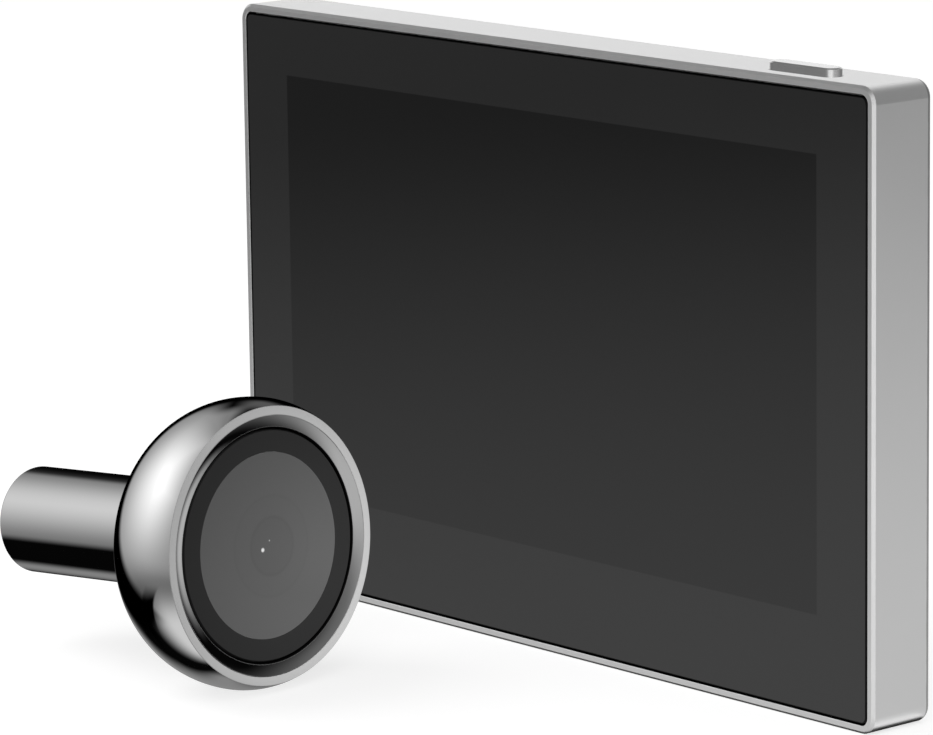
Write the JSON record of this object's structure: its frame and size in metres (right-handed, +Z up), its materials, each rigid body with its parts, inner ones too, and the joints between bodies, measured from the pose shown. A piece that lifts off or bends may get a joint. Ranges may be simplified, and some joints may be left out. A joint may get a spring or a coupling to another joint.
{
  "type": "peephole door camera",
  "caption": "Door viewer set: an upright indoor screen unit with a power key and a hook-on door bracket, and a polished round camera whose tube passes through the door.",
  "frame": {"origin": "on the surface it stands on, under the middle of the screen unit's base", "axes": "+X to the right of a person facing the screen, +Y from the screen to its back, +Z up"},
  "size_m": [0.132, 0.0807, 0.0882],
  "materials": {
    "frame_aluminium": "fine satin, bright cut bevel",
    "cover_aluminium": "satin",
    "black_glass": "polished, black printed border",
    "display": "dark display, off",
    "white_plastic": "clear white",
    "sheet_aluminium": "mill finish",
    "ribbon": "ribbon film",
    "socket_plastic": "moulded",
    "circuit_board": "solder mask",
    "black_plastic": "moulded",
    "plated_steel": "plated",
    "battery_foil": "foil pouch",
    "lead_sleeve": "soft",
    "black_rubber": "soft",
    "brass": "turned",
    "bracket_steel": "zinc plated sheet",
    "foam_tape": "foam with a paper liner",
    "chrome": "mirror polished",
    "black_gloss": "polished",
    "smoked_window": "smoked, polished",
    "lens_glass": "coated lens",
    "lamp": "tinted lamp"
  },
  "bodies": {
    "screen_unit": {"frame": "frame_aluminium", "cover_glass": "black_glass", "glass_tape": "black_rubber", "display_cell": "display", "light_guide": "white_plastic", "backlight_tray": "sheet_aluminium", "display_flex": "ribbon", "flex_socket": "socket_plastic", "main_board": "circuit_board", "board_chips": "black_plastic", "shield_can": "plated_steel", "camera_lead_socket": "socket_plastic", "charging_socket": "plated_steel", "key_switch": "black_plastic", "battery": "battery_foil", "battery_pad": "white_plastic", "battery_lead": "lead_sleeve", "speaker": "black_plastic", "speaker_gasket": "black_rubber", "antenna": "brass", "rear_cover": "cover_aluminium", "cover_screws": "plated_steel", "board_screws": "plated_steel"},
    "power_key": {"power_key": "frame_aluminium", "switch_plunger": "black_plastic"},
    "door_bracket": {"door_bracket": "bracket_steel", "bracket_tape": "foam_tape"},
    "door_camera": {"head_shell": "chrome", "bezel_ring": "chrome", "front_disc": "black_gloss", "window": "smoked_window", "window_seal": "black_rubber", "lamp_board": "circuit_board", "infrared_lamps": "lamp", "lens_barrel": "black_plastic", "front_lens": "lens_glass", "rear_lens": "lens_glass", "lens_holder": "black_plastic", "image_sensor": "black_plastic", "sensor_board": "circuit_board", "board_spacers": "brass", "spacer_screws": "plated_steel", "lead_header": "socket_plastic", "tube": "chrome", "tube_seal": "black_rubber", "flange_screws": "plated_steel", "cable_grommet": "black_rubber", "rear_ring": "black_rubber"}
  },
  "joints": [
    {"name": "key_press", "type": "slide", "parent": "screen_unit", "child": "power_key", "axis": [0, 0, -1], "range_m": [0, 0.0004], "stiffness_N_per_m": 2500, "springref_m": -0.0003},
    {"name": "bracket_unhook", "type": "slide", "parent": "screen_unit", "child": "door_bracket", "axis": [0, 0, -1], "range_m": [0, 0.005]},
    {"name": "camera_lift", "type": "slide", "parent": "screen_unit", "child": "door_camera", "axis": [0, 0, 1], "range_m": [0, 0.1]}
  ]
}
